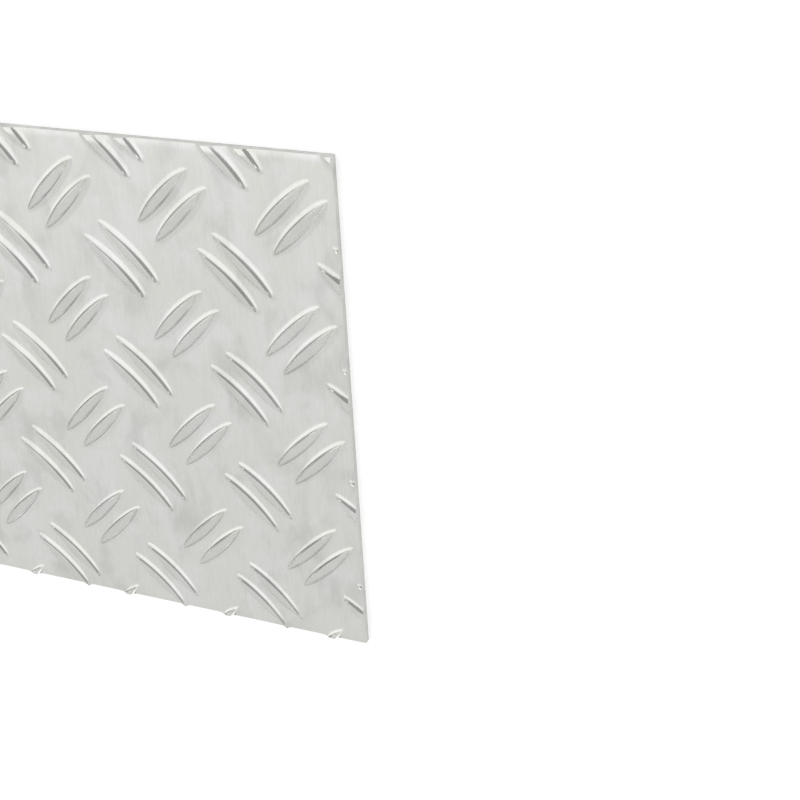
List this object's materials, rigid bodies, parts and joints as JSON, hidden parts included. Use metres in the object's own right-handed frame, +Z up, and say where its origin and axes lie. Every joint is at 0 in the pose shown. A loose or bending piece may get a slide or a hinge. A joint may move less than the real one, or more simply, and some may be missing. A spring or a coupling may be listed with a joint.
{
  "type": "aluminium tread plate",
  "caption": "Flat strip of rolled aluminium tread plate, with pairs of raised lens-shaped bars on its upper face in a crossed square pattern.",
  "frame": {"origin": "centre of the flat underside", "axes": "+X along the strip, +Y across it, +Z up, out of the face with the bars"},
  "size_m": [0.5, 0.2, 0.0045],
  "materials": {
    "mill_aluminium": "bright mill finish, satin between the bars"
  },
  "bodies": {
    "root": {"tread_plate": "mill_aluminium"}
  },
  "joints": []
}
